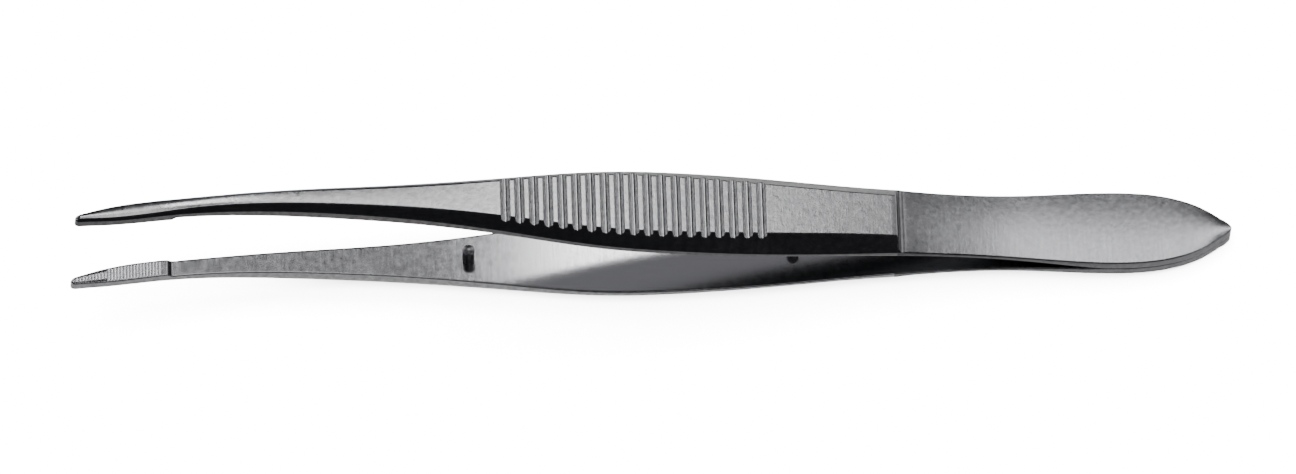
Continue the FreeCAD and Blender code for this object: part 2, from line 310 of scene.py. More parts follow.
def new_mesh_object(name: str, points: np.ndarray, faces: Sequence[Sequence[int]]) -> Thing:
    """Makes a smooth-shaded mesh object at the origin.

    Args:
        name: Name of the object and of its mesh.
        points: Vertices in metres, one row each.
        faces: Vertex numbers of each face.

    Returns:
        The new object, linked to the scene.
    """
    mesh = bpy.data.meshes.new(name)
    mesh.from_pydata(points.tolist(), [], [tuple(face) for face in faces])
    mesh.validate()
    mesh.update()
    mesh.polygons.foreach_set("use_smooth", [True] * len(mesh.polygons))
    return link_object(name, mesh)


def new_card(name: str, half_length: float, front: float, back: float, height: float) -> Thing:
    """Makes a level rectangle that X = 0 cuts in half. All its sizes are metres.

    Args:
        name: Name of the object.
        half_length: Half its length in X.
        front: Y of its front edge.
        back: Y of its back edge.
        height: Its level.

    Returns:
        The rectangle's object.
    """
    corners = [(-half_length, front, height), (half_length, front, height),
               (half_length, back, height), (-half_length, back, height)]
    return new_mesh_object(name, np.array(corners), [(0, 1, 2, 3)])


# ----- Finishes -----


class Finish(ABC):
    """A finish of the tool or the stage, which makes its own node material."""

    name: str

    @abstractmethod
    def surface(self, tree: Tree) -> Socket:
        """Adds the finish's nodes and gives the output that the material shows."""

    def material(self) -> Material:
        """Makes the node material.

        Returns:
            The finished material.
        """
        material = bpy.data.materials.new(self.name)
        material.use_nodes = True
        tree = material.node_tree
        tree.nodes.clear()
        add_node(tree, "OutputMaterial", links={"Surface": self.surface(tree)})
        return material


@dataclass(frozen=True)
class SatinGroundSteel(Finish):
    """Martensitic stainless steel, ground across the width on a fine belt and satin polished.

    To the eye it is a neutral grey metal with a soft sheen. The belt leaves faint lines across
    the arm, and the polishing leaves a slight cloudiness that breaks up the reflections.
    """

    name: str = "satin_ground_stainless_steel"
    tint: str = "E0E0E2"
    tint_worn: str = "9A9A9D"
    roughness_low: float = 0.16
    roughness_high: float = 0.23
    belt_line_spacing: float = 0.22  # a 320 grit belt leaves 0.05 mm lines, drawn coarser to show
    belt_line_length: float = 3.2
    cloud_size: float = 0.6
    grain_size: float = 0.5
    line_depth: float = 0.002
    grain_depth: float = 0.005

    LINE_NOISE = (3.0, 0.65)  # detail and roughness of the pattern
    GRAIN_NOISE = (4.0, 0.6)
    LINE_SHARE = 0.8  # of the lines in the roughness, where the clouds are 1
    MIX_RANGE = (0.55, 1.25)  # of lines and clouds together
    MIX_COLOURS = (6, 7)  # the Mix node's colour inputs, which it names like its others

    def surface(self, tree: Tree) -> Socket:
        """Adds ground metal, whose lines and clouds drive its roughness, tint and relief.

        Args:
            tree: The material's empty node tree.

        Returns:
            The metal's shader output.
        """
        place = add_node(tree, "TexCoord").outputs["Object"]
        across = 1 / (self.belt_line_spacing * MM)
        scale = (across, 1 / (self.belt_line_length * MM), across)
        lines_at = add_node(tree, "Mapping", values={"Scale": scale}, links={"Vector": place})
        lines = add_noise(tree, lines_at.outputs["Vector"], 1.0, *self.LINE_NOISE)
        clouds = add_noise(tree, place, 1 / (self.cloud_size * MM), *self.GRAIN_NOISE)
        grain = add_noise(tree, place, 1 / (self.grain_size * MM), *self.GRAIN_NOISE)
        sum_up = {"operation": "MULTIPLY_ADD"}
        mixed = add_node(tree, "Math", sum_up, {1: self.LINE_SHARE}, {0: lines, 2: clouds})
        ranges = {"From Min": self.MIX_RANGE[0], "From Max": self.MIX_RANGE[1],
                  "To Min": self.roughness_low, "To Max": self.roughness_high}
        roughness = add_node(tree, "MapRange", None, ranges, {"Value": mixed.outputs[0]})
        worn, clean = self.MIX_COLOURS
        tints = {worn: linear_rgba(self.tint_worn), clean: linear_rgba(self.tint)}
        tint = add_node(tree, "Mix", {"data_type": "RGBA"}, tints, {0: clouds})
        lined = add_bump(tree, lines, self.line_depth)
        return add_node(tree, "BsdfPrincipled", values={"Metallic": 1.0}, links={
            "Base Color": tint.outputs[2],
            "Roughness": roughness.outputs["Result"],
            "Normal": add_bump(tree, grain, self.grain_depth, lined),
        }).outputs["BSDF"]


@dataclass(frozen=True)
class InnerShadeTintedSteel(SatinGroundSteel):
    """The arms' inner faces: ground steel, clearer in sheen, with a darker tint that is painted
    shade between the facing arms.
    """

    name: str = "inner_steel_with_painted_shade"
    # painted shade: this tint and the worn one are darker than the outer steel's, for the shade
    # between the arms
    tint: str = "ACACAF"
    tint_worn: str = "A2A2A5"
    roughness_low: float = 0.1
    roughness_high: float = 0.16
    line_depth: float = 0.0004
    grain_depth: float = 0.0007


@dataclass(frozen=True)
class MilledGrooveSteel(SatinGroundSteel):
    """The grip's grooves: cut with a form mill, with no belt lines and a broader sheen."""

    name: str = "milled_groove_stainless_steel"
    roughness_low: float = 0.2
    roughness_high: float = 0.25
    line_depth: float = 0.0
    grain_depth: float = 0.0003


@dataclass(frozen=True)
class LeafShadeTintedSteel(SatinGroundSteel):
    """The thin spring and the butt behind the step: ground a second time, so a little rougher; the
    darker tint is painted shade on this low leaf behind the step.
    """

    name: str = "leaf_steel_with_painted_shade"
    # painted shade: both tints are darker than the outer steel's, for the shade behind the step
    tint: str = "B2B2B5"
    tint_worn: str = "767679"
    roughness_low: float = 0.18
    roughness_high: float = 0.25


@dataclass(frozen=True)
class TurnedShadeTintedSteel(Finish):
    """Stainless steel rod, turned and a little rougher than the ground arms; its darker tint is
    painted shade on the pins between the arms.
    """

    name: str = "turned_steel_with_painted_shade"
    # painted shade: darker than the arms' tint, for the shade on the pins between the arms
    tint: str = "A6A6AA"
    roughness: float = 0.3
    ring_spacing: float = 0.12  # the turning tool's feed
    ring_depth: float = 0.002

    BAND_SCALE = 0.314  # the Wave node's scale for one band to the unit
    BAND_WOBBLE = 0.6
    BAND_DETAIL = 2.0

    def surface(self, tree: Tree) -> Socket:
        """Adds metal with the fine rings that turning leaves.

        Args:
            tree: The material's empty node tree.

        Returns:
            The metal's shader output.
        """
        place = add_node(tree, "TexCoord").outputs["Object"]
        bands = {"wave_type": "BANDS", "bands_direction": "Z"}
        scale = self.BAND_SCALE / (self.ring_spacing * MM)
        waves = {"Scale": scale, "Distortion": self.BAND_WOBBLE, "Detail": self.BAND_DETAIL}
        rings = add_node(tree, "TexWave", bands, waves, {"Vector": place})
        relief = add_bump(tree, rings.outputs["Fac"], self.ring_depth)
        metal = {"Metallic": 1.0, "Base Color": linear_rgba(self.tint),
                 "Roughness": self.roughness}
        return add_node(tree, "BsdfPrincipled", None, metal, {"Normal": relief}).outputs["BSDF"]


@dataclass(frozen=True)
class TableGlow(Finish):
    """The dim grey that polished steel sees of the table under it."""

    name: str
    strength: float
    tint: str = "FFFFFF"

    def surface(self, tree: Tree) -> Socket:
        """Adds an even glow and gives its output."""
        values = {"Color": linear_rgba(self.tint), "Strength": self.strength}
        return add_node(tree, "Emission", values=values).outputs["Emission"]


@dataclass(frozen=True)
class SweepPaper(Finish):
    """Matt white background paper: even and without sheen."""

    name: str = "matt_white_sweep_paper"
    tint: str = "F6F6F6"
    roughness: float = 0.95

    def surface(self, tree: Tree) -> Socket:
        """Adds matt paper.

        Args:
            tree: The material's empty node tree.

        Returns:
            The paper's shader output.
        """
        values = {"Base Color": linear_rgba(self.tint), "Roughness": self.roughness,
                  "Specular IOR Level": 0.0}
        return add_node(tree, "BsdfPrincipled", values=values).outputs["BSDF"]


# ----- The arms -----


@dataclass
class ArmForm:
    """Sizes of one arm, as in the part's source, and the laws that follow from them.

    Stations run along X from the jaw tips to the butt, and the arms meet on Z = 0.
    """

    jaw_length: float = 9.6
    shank_length: float = 32.9
    groove_pitch: float = 1.417
    groove_count: int = 19
    grip_tail_length: float = 13.5
    spring_length: float = 19.85
    butt_length: float = 12.8

    nose_length: float = 0.5
    nose_width: float = 0.8
    nose_swell_width: float = 1.43
    nose_swell_run: float = 3.1
    jaw_width: float = 1.74
    shank_width: float = 2.44
    shank_waist_run: float = 12.6
    flare_width: float = 3.66
    flare_run: float = 10.0
    grip_front_width: float = 5.85
    swell_width: float = 8.3
    swell_run: float = 9.9
    grip_width: float = 8.78
    grip_widest_run: float = 16.9
    grip_rear_width: float = 8.48
    step_width: float = 7.08
    neck_width: float = 7.05
    neck_run: float = 11.7
    butt_width: float = 7.92
    butt_widest_run: float = 2.3
    leaf_shoulder_width: float = 6.4
    leaf_shoulder_run: float = 7.65
    leaf_taper_width: float = 4.72
    leaf_taper_run: float = 9.75
    butt_point_width: float = 2.1
    butt_point_length: float = 1.05
    butt_point_taper: float = 0.45
    tip_run: float = 0.6
    least_half_width: float = 0.03  # left at the nose and at the butt's point

    jaw_sweep: float = 2.1
    jaw_sweep_run: float = 27.0
    jaw_sweep_power: float = 2.6

    spring_spread_angle: float = 5.228
    shank_spread_angle: float = 1.45
    bend_run: float = 24.0
    bend_ahead: float = 1.7
    pad_rise: float = 0.4
    pad_heel_run: float = 0.5

    nose_thickness: float = 1.08
    jaw_thickness: float = 1.16
    shank_front_thickness: float = 1.43
    shank_front_run: float = 3.1
    shank_thickness: float = 2.02
    flare_thickness: float = 2.28
    grip_thickness: float = 2.33
    step_thickness: float = 1.96
    spring_foot_thickness: float = 0.7
    spring_thickness: float = 0.58
    spring_thin_run: float = 6.0
    spring_rear_thickness: float = 0.64
    spring_rear_run: float = 11.0
    joint_thickness: float = 1.21
    butt_thickness: float = 1.19
    butt_flat_run: float = 4.0
    step_radius: float = 0.8
    nose_drop: float = 0.5

    nose_bevel: float = 0.14
    jaw_bevel: float = 0.36
    shank_bevel: float = 0.6
    flare_bevel: float = 0.8
    grip_front_bevel: float = 0.97
    grip_bevel: float = 1.33
    grip_rear_bevel: float = 1.47
    step_bevel: float = 1.27
    nose_edge: float = 0.68
    jaw_edge: float = 0.74
    shank_edge: float = 1.05
    flare_edge: float = 1.0
    grip_front_edge: float = 0.8
    grip_edge: float = 0.65
    grip_rear_edge: float = 0.55
    runout_length: float = 2.6
    shank_roundness: float = 0.6
    grip_roundness: float = 0.04

    groove_radius: float = 0.46
    tooth_pitch: float = 0.315
    tooth_gap: float = 0.15
    tooth_depth: float = 0.014
    tooth_margin: float = 0.5

    first_groove: float = field(init=False)
    last_groove: float = field(init=False)
    step_top: float = field(init=False)
    step_base: float = field(init=False)
    joint_start: float = field(init=False)
    butt_end: float = field(init=False)
    bend_middle: float = field(init=False)
    width: SizeLaw = field(init=False)
    thickness: SizeLaw = field(init=False)
    bevel: SizeLaw = field(init=False)
    edge_height: SizeLaw = field(init=False)
    spring_face: SizeLaw = field(init=False)
    roundness: SizeLaw = field(init=False)

    AHEAD = -1  # a station ahead of the nose, where some laws start

    def __post_init__(self) -> None:
        """Works out the stations and fits the laws."""
        jaw = self.jaw_length
        self.first_groove = first = jaw + self.shank_length
        self.last_groove = last = first + self.groove_pitch * (self.groove_count - 1)
        self.step_top = last + self.grip_tail_length
        self.step_base = base = self.step_top + self.step_radius
        self.joint_start = joint = base + self.spring_length
        self.butt_end = joint + self.butt_length
        self.bend_middle = first + self.bend_ahead
        waist = jaw + self.shank_waist_run
        flare = first - self.flare_run
        widest = first + self.grip_widest_run
        swell = (self.nose_swell_width - self.nose_width) * self.nose_length / self.nose_swell_run
        self.width = SizeLaw([
            (0, self.nose_width - swell), (self.nose_length, self.nose_width),
            (self.nose_swell_run, self.nose_swell_width), (jaw, self.jaw_width),
            (waist, self.shank_width), (flare, self.flare_width), (first, self.grip_front_width),
            (first + self.swell_run, self.swell_width), (widest, self.grip_width),
            (last, self.grip_rear_width), (self.step_top, self.step_width),
            (base + self.neck_run, self.neck_width),
            (joint + self.butt_widest_run, self.butt_width),
            (joint + self.leaf_shoulder_run, self.leaf_shoulder_width),
            (joint + self.leaf_taper_run, self.leaf_taper_width),
            (self.butt_end - self.butt_point_length, self.butt_point_width),
        ])
        self.thickness = SizeLaw([
            (0, self.nose_thickness), (jaw, self.jaw_thickness),
            (jaw + self.shank_front_run, self.shank_front_thickness),
            (waist, self.shank_thickness), (flare, self.flare_thickness),
            (widest, self.grip_thickness), (self.step_top, self.step_thickness),
        ])
        self.bevel = SizeLaw([
            (self.AHEAD, self.nose_bevel), (jaw, self.jaw_bevel), (waist, self.shank_bevel),
            (flare, self.flare_bevel), (first, self.grip_front_bevel), (widest, self.grip_bevel),
            (last, self.grip_rear_bevel), (base, self.step_bevel),
        ])
        self.edge_height = SizeLaw([
            (self.AHEAD, self.nose_edge), (jaw, self.jaw_edge), (waist, self.shank_edge),
            (flare, self.flare_edge), (first, self.grip_front_edge), (widest, self.grip_edge),
            (self.step_top - self.runout_length, self.grip_rear_edge),
            (base, self.spring_foot_thickness),
        ])
        thin, back = base + self.spring_thin_run, base + self.spring_rear_run
        self.spring_face = SizeLaw([
            (base, self.inner(base) + self.spring_foot_thickness),
            (thin, self.inner(thin) + self.spring_thickness),
            (back, self.inner(back) + self.spring_rear_thickness),
            (joint, self.joint_thickness),
            (joint + self.butt_flat_run, self.butt_thickness),
        ])
        shank, grip = self.shank_roundness, self.grip_roundness
        self.roundness = SizeLaw([
            (self.AHEAD, shank), (waist, shank), (flare, shank), (widest, grip), (base, grip),
        ])

    def inner(self, x: float) -> float:
        """Gives the inner face's distance from the middle plane: two lines joined by an arc.

        Args:
            x: Station.

        Returns:
            The distance there.
        """
        if x >= self.joint_start:
            return 0.0
        rear = -math.tan(math.radians(self.spring_spread_angle))
        front = -math.tan(math.radians(self.shank_spread_angle))
        behind = x - self.bend_middle
        height = rear * (self.bend_middle - self.joint_start)
        height += (rear if behind > 0 else front) * behind
        on_arc = max(0.0, self.bend_run / 2 - abs(behind))
        return height + (rear - front) / (2 * self.bend_run) * on_arc**2

    def grip_outer(self, x: float) -> float:
        """Distance of the outer face from the middle plane ahead of the step."""
        return self.inner(x) + self.thickness(min(max(x, 0.0), self.step_top))

    def sweep(self, x: float) -> float:
        """Sideways place of the centre line, which bends only towards the tip."""
        ahead = max(0.0, self.jaw_sweep_run - x) / self.jaw_sweep_run
        return -self.jaw_sweep * ahead**self.jaw_sweep_power

    def half_width(self, x: float) -> float:
        """Gives half the width seen from outside, with the round nose and butt point.

        Args:
            x: Station.

        Returns:
            Half the width there.
        """
        if x < self.tip_run:
            ahead = 1 - max(x, 0.0) / self.tip_run
            return max(self.width(x) / 2 * math.sqrt(1 - ahead**2), self.least_half_width)
        point = self.butt_end - self.butt_point_length
        if x > point:
            behind = min(1.0, (x - point) / self.butt_point_length)
            taper = 1 - self.butt_point_taper * behind
            rounded = self.butt_point_width / 2 * math.sqrt(1 - behind**2) * taper
            return max(rounded, self.least_half_width)
        return self.width(x) / 2


@dataclass(frozen=True)
class Station:
    """One cross-section's place: its station and the heights of its inner and outer face."""

    x: float
    floor: float
    top: float


@dataclass
class GroundArm:
    """One forged and ground arm, swept from cross-sections, with all its edges eased."""

    form: ArmForm
    place: ArmPlace
    edge_break: float = 0.13
    edge_break_share: float = 0.45  # of half the width: the most that it takes
    edge_ease: float = 0.05
    corner_ease: float = 0.08
    hold: float = 0.02
    tip_round: float = 0.22
    jaw_crown: float = 0.12
    jaw_crown_end: float = 13.0
    shank_crown: float = 0.045
    shank_crown_start: float = 26.0
    spring_crown: float = 0.035
    spring_crown_rise: float = 2.0
    leaf_crown: float = 0.09
    bevel_share: float = 0.25  # of the thickness: the least height that a bevel takes
    rim_round: float = 0.05
    rim_hold: float = 1.8  # roundings from a groove's wall to where the land is flat
    lip_round: float = 0.1
    plain_step: float = 0.4
    least_step: float = 0.004
    curve_points: int = 10
    bevel_points: int = 61
    groove_steps: int = 9
    round_parts: int = 15  # of the quarter turns over the nose and round the butt's point
    step_parts: int = 10
    lip_parts: int = 4
    rim_parts: int = 3

    INNER_EDGES = 4  # ring edges from the inner face's middle to its eased corner
    INNER_SHARES = (0.0, 0.4, 0.75)  # points of the inner face, from its middle to its corner
    OUTER_SHARES = (0.2, 0.4, 0.6, 0.8, 1.0)  # points of the outer face, from edge to middle
    HEEL_RISE = (0.08, 0.16, 0.84, 0.92)  # shares of the rise lost at the ends of the heel's slope

    def tooth_line(self) -> list[tuple[float, float]]:
        """Draws the jaw pad's face: fine V-shaped teeth between two plain margins.

        Returns:
            (station, height) places from the nose to the pad's heel.
        """
        form = self.form
        places = [(0.0, form.inner(0.0) - form.pad_rise)]
        count = int((form.jaw_length - 2 * form.tooth_margin) / form.tooth_pitch)
        rim = form.tooth_gap / 2
        for number in range(count):
            root = form.tooth_margin + form.tooth_pitch * (number + 0.5)
            for offset in (-rim - self.hold, -rim, 0.0, rim, rim + self.hold):
                x = root + offset
                depth = 0.0 if offset else form.tooth_depth
                places.append((x, form.inner(x) - form.pad_rise + depth))
        places.append((form.jaw_length, form.inner(form.jaw_length) - form.pad_rise))
        return places

    def nose_top(self, x: float) -> float:
        """Height of the outer face at a station, rounded down over the nose."""
        run = self.form.tip_run
        return self.form.grip_outer(max(x, run)) - self.form.nose_drop * shortfall(x, run)

    def crown_at(self, x: float) -> float:
        """Gives how far the polished outer face falls away at its sides. The grip is flat.

        Args:
            x: Station.

        Returns:
            The fall there.
        """
        form = self.form
        ahead = np.interp(x, (0, self.jaw_crown_end, self.shank_crown_start, form.first_groove),
                          (self.jaw_crown, self.jaw_crown, self.shank_crown, 0.0))
        behind = np.clip((x - form.step_base) / self.spring_crown_rise, 0, 1)
        along = np.clip((x - form.step_base) / form.spring_length, 0, 1)
        return float(ahead + (self.spring_crown * (1 - along) + self.leaf_crown * along) * behind)

    def nose_under(self, x: float) -> float:
        """How far the inner face rises at a station, where the tip's end is rounded over."""
        return self.tip_round * shortfall(x, self.tip_round)

    def jaw_stations(self) -> list[Station]:
        """Places the cross-sections of the jaw, from the nose to the pad's heel.

        Returns:
            Stations in order.
        """
        form = self.form
        teeth = self.tooth_line()
        tooth_x = [x for x, _ in teeth]
        tooth_z = [z for _, z in teeth]
        nose = [form.tip_run * (1 - math.cos(angle)) for angle in quarter_turn(self.round_parts)]
        spread = sorted({round(x, 4) for x in tooth_x + nose})
        kept = [spread[0]]
        for x in spread[1:]:
            if x - kept[-1] > self.least_step:
                kept.append(x)
        heel, ease = form.jaw_length, self.corner_ease
        foot = heel + form.pad_heel_run
        stations = []
        for x in kept:
            if x < heel - 2 * ease:
                floor = float(np.interp(x, tooth_x, tooth_z)) + self.nose_under(x)
                stations.append(Station(x, floor, self.nose_top(x)))
        top_mid, top_end, foot_start, foot_mid = self.HEEL_RISE
        slope = [
            (heel - ease, 0.0), (heel - 0.5 * ease, 0.0), (heel + 0.5 * ease, top_mid),
            (heel + ease, top_end), ((heel + foot) / 2, 0.5), (foot - ease, foot_start),
            (foot - 0.5 * ease, foot_mid), (foot + 0.5 * ease, 1.0), (foot + ease, 1.0),
        ]
        for x, share in slope:
            floor = form.inner(x) - form.pad_rise * (1 - share)
            stations.append(Station(x, floor, form.grip_outer(x)))
        return stations

    def groove_profile(self) -> list[tuple[float, float]]:
        """Draws one half-round groove with softened rims.

        Returns:
            (distance from the groove's middle, depth) places across the groove.
        """
        radius, rim = self.form.groove_radius, self.rim_round
        left = [(-(radius + self.rim_hold * rim), 0.0), (-(radius + rim), 0.0)]
        for angle in quarter_turn(self.rim_parts)[1:-1]:
            left.append((-(radius + rim) + rim * math.sin(angle), rim * (1 - math.cos(angle))))
        start = math.asin(rim / radius)
        for step in range(self.groove_steps):
            angle = start + (math.pi / 2 - start) * step / self.groove_steps
            left.append((-radius * math.cos(angle), radius * math.sin(angle)))
        return left + [(0.0, radius)] + [(-x, depth) for x, depth in reversed(left)]

    def outer_stations(self) -> list[Station]:
        """Places the cross-sections from the pad's heel to the butt's point.

        Returns:
            Stations in order.
        """
        form = self.form
        places: list[tuple[float, float]] = []

        def plain(start: float, end: float, height: Callable[[float], float]) -> None:
            """Adds evenly spaced places of a plain stretch, its ends left out.

            Args:
                start: Station of its front end.
                end: Station of its rear end.
                height: Gives its height at a station.
            """
            count = max(1, round((end - start) / self.plain_step))
            for number in range(1, count):
                x = start + (end - start) * number / count
                places.append((x, height(x)))

        profile = self.groove_profile()
        heel = form.jaw_length + form.pad_heel_run + 2 * self.corner_ease
        plain(heel, form.first_groove + profile[0][0], form.grip_outer)
        for number in range(form.groove_count):
            middle = form.first_groove + form.groove_pitch * number
            axis = form.grip_outer(middle)
            for offset, depth in profile:
                x = middle + offset
                share = min(1.0, depth / self.rim_round)
                places.append((x, form.grip_outer(x) * (1 - share) + axis * share - depth))
        lip, lip_z = self.lip_round, form.grip_outer(form.step_top)
        lip_start = form.step_top - 2 * lip
        plain(form.last_groove + profile[-1][0], lip_start, form.grip_outer)
        places.append((lip_start, form.grip_outer(lip_start)))
        for angle in quarter_turn(self.lip_parts):
            drop = lip * (1 - math.cos(angle))
            places.append((form.step_top - lip + lip * math.sin(angle), lip_z - drop))
        foot, radius = form.spring_face(form.step_base), form.step_radius
        places.append((form.step_top, (lip_z - lip + (foot + radius)) / 2))
        for angle in quarter_turn(self.step_parts):
            rise = radius * (1 - math.sin(angle))
            places.append((form.step_base - radius * math.cos(angle), foot + rise))
        point = form.butt_end - form.butt_point_length
        plain(form.step_base, point, form.spring_face)
        for angle in quarter_turn(self.round_parts):
            places.append((point + form.butt_point_length * math.sin(angle), form.butt_thickness))
        return [Station(x, form.inner(x), z) for x, z in places]

    def shoulder(self, station: Station, half: float, share: float) -> np.ndarray:
        """Draws the bevel, or the broken edge where none is ground, of a cross-section.

        Args:
            station: The cross-section's place.
            half: Half its width.
            share: How much of the bevel the tapering nose and butt leave.

        Returns:
            (distance from the centre line, height) points from the side to the outer face.
        """
        form, x = self.form, station.x
        behind = x >= form.step_base
        uncut = station.top if behind or x < form.tip_run else form.grip_outer(x)
        least = self.bevel_share * (uncut - station.floor)
        base = min(form.inner(x) + form.edge_height(x), uncut - least)
        low, high = np.array([half, base]), np.array([half - form.bevel(x) * share, uncut])
        middle = (low + high) / 2
        pull = middle + (np.array([half, uncut]) - middle) * form.roundness(x)
        fine = np.linspace(0, 1, self.bevel_points)[:, None]
        ground = low * (1 - fine) ** 2 + pull * (2 * fine * (1 - fine)) + high * fine**2
        cut = float(np.interp(station.top, ground[:, 1], fine[:, 0]))
        part = np.linspace(0, cut, self.curve_points + 2)[:, None]
        points = low * (1 - part) ** 2 + pull * (2 * part * (1 - part)) + high * part**2
        thin = min(self.edge_break, self.edge_break_share * half)
        if behind or half - points[-1, 0] < thin or station.top - base < thin:
            turn = np.linspace(0, math.pi / 2, self.curve_points + 2)
            points = np.column_stack([
                half - thin * (1 - np.cos(turn)),
                station.top - thin * (1 - np.sin(turn)),
            ])
        return points

    def half_section(self, station: Station) -> np.ndarray:
        """Draws half a cross-section, from the middle of its inner to that of its outer face.

        Args:
            station: The cross-section's place.

        Returns:
            (distance from the centre line, height) points.
        """
        form, x = self.form, station.x
        half = form.half_width(x)
        share = min(1.0, half / (form.width(max(x, form.nose_length)) / 2))
        shoulder = self.shoulder(station, half, share)
        start, end = shoulder[0], shoulder[-1]
        centre_in, centre_out = np.array([0.0, station.floor]), np.array([0.0, station.top])
        foot = np.array([half, station.floor])
        points = [centre_in + (foot - centre_in) * part for part in self.INNER_SHARES]
        points += eased_corner(centre_in, foot, start, self.corner_ease)
        points.append((foot + start) / 2)
        points += eased_corner(foot, start, shoulder[1], self.edge_ease)
        points += list(shoulder[1:-1])
        points += eased_corner(shoulder[-2], end, centre_out, self.edge_ease)
        points += [end + (centre_out - end) * part for part in self.OUTER_SHARES]
        outline = np.array(points)
        share_up = (outline[:, 1] - station.floor) / max(station.top - station.floor, SMALLEST)
        drop = self.crown_at(x) * share
        outline[:, 1] -= drop * np.clip(share_up, 0, 1) ** 2 * (outline[:, 0] / half) ** 2
        return outline

    def ring(self, station: Station) -> np.ndarray:
        """Closes a cross-section into a ring and brings it to its place.

        Args:
            station: The cross-section's place.

        Returns:
            Making-frame points, one row each.
        """
        half = self.half_section(station)
        outline = np.vstack([half, half[-2:0:-1] * (-1, 1)])
        return np.column_stack([
            np.full(len(outline), station.x),
            outline[:, 0] + self.form.sweep(station.x),
            outline[:, 1] * self.place.value,
        ])

    def zone(self, x: float) -> SteelZone:
        """Tells which zone of the arm's outer side is at a station.

        Args:
            x: Station.

        Returns:
            The zone.
        """
        form = self.form
        turns = (x - form.first_groove) / form.groove_pitch
        nearest = min(max(round(turns), 0), form.groove_count - 1)
        if abs(turns - nearest) * form.groove_pitch < form.groove_radius:
            return SteelZone.GROOVE
        return SteelZone.LEAF if x > form.step_top else SteelZone.OUTER

    def build(
        self, name: str, resting: "RestingPlace", finishes: dict[SteelZone, Material]
    ) -> Thing:
        """Sweeps the arm, lays it down and dresses it.

        Args:
            name: Name of the piece.
            resting: How the tool lies in the frame.
            finishes: The finish of each zone.

        Returns:
            The arm's object.
        """
        stations = self.jaw_stations() + self.outer_stations()
        rings = [self.ring(station) for station in stations]
        around = len(rings[0])
        inward = [min(place, around - 1 - place) < self.INNER_EDGES for place in range(around)]
        faces: list[list[int]] = []
        zones: list[int] = []
        for number in range(len(rings) - 1):
            first = number * around
            outside = self.zone((stations[number].x + stations[number + 1].x) / 2)
            for place in range(around):
                low, beside = first + place, first + (place + 1) % around
                faces.append([low, beside, around + beside, around + low])
            zones += [SteelZone.INNER if inner else outside for inner in inward]
        last = (len(rings) - 1) * around
        faces += [list(range(around - 1, -1, -1)), [last + place for place in range(around)]]
        zones += [SteelZone.OUTER] * 2
        if self.place is ArmPlace.UPPER:
            faces = [face[::-1] for face in faces]
        arm = new_mesh_object(name, resting.to_frame(np.vstack(rings)), faces)
        for zone in SteelZone:
            arm.data.materials.append(finishes[zone])
        arm.data.polygons.foreach_set("material_index", zones)
        return arm


@dataclass
class RestingPlace:
    """How the tool lies: turned about Y until the grip and the butt stand on the floor."""

    form: ArmForm
    lowest: Vector
    highest: Vector
    samples: int = 400
    pitch: float = field(init=False)
    shift: np.ndarray = field(init=False)

    def __post_init__(self) -> None:
        """Works out the resting pitch and the shift into the frame's box."""
        form = self.form
        start = form.first_groove - form.flare_run
        span = form.step_top - start
        places = [start + span * number / self.samples for number in range(self.samples + 1)]
        slopes = [(form.grip_outer(x) - form.butt_thickness) / (form.butt_end - x) for x in places]
        self.pitch = math.atan(max(slopes))
        under, over = self._turn(np.array([
            [form.butt_end, 0.0, -form.butt_thickness], [form.butt_end, 0.0, form.butt_thickness],
        ]))
        self.shift = np.array([self.highest.x / MM - over[0], 0.0, self.lowest.z / MM - under[2]])

    def _turn(self, points: np.ndarray) -> np.ndarray:
        """Turns making-frame points by the resting pitch.

        Args:
            points: Points in millimetres, one row each.

        Returns:
            The turned points.
        """
        cos, sin = math.cos(self.pitch), math.sin(self.pitch)
        x, y, z = points[:, 0], points[:, 1], points[:, 2]
        return np.column_stack([x * cos + z * sin, y, z * cos - x * sin])

    def to_frame(self, points: np.ndarray) -> np.ndarray:
        """Brings making-frame points, one row each, into the shared frame, in metres."""
        return (self._turn(points) + self.shift) * MM


# ----- The stop pins -----


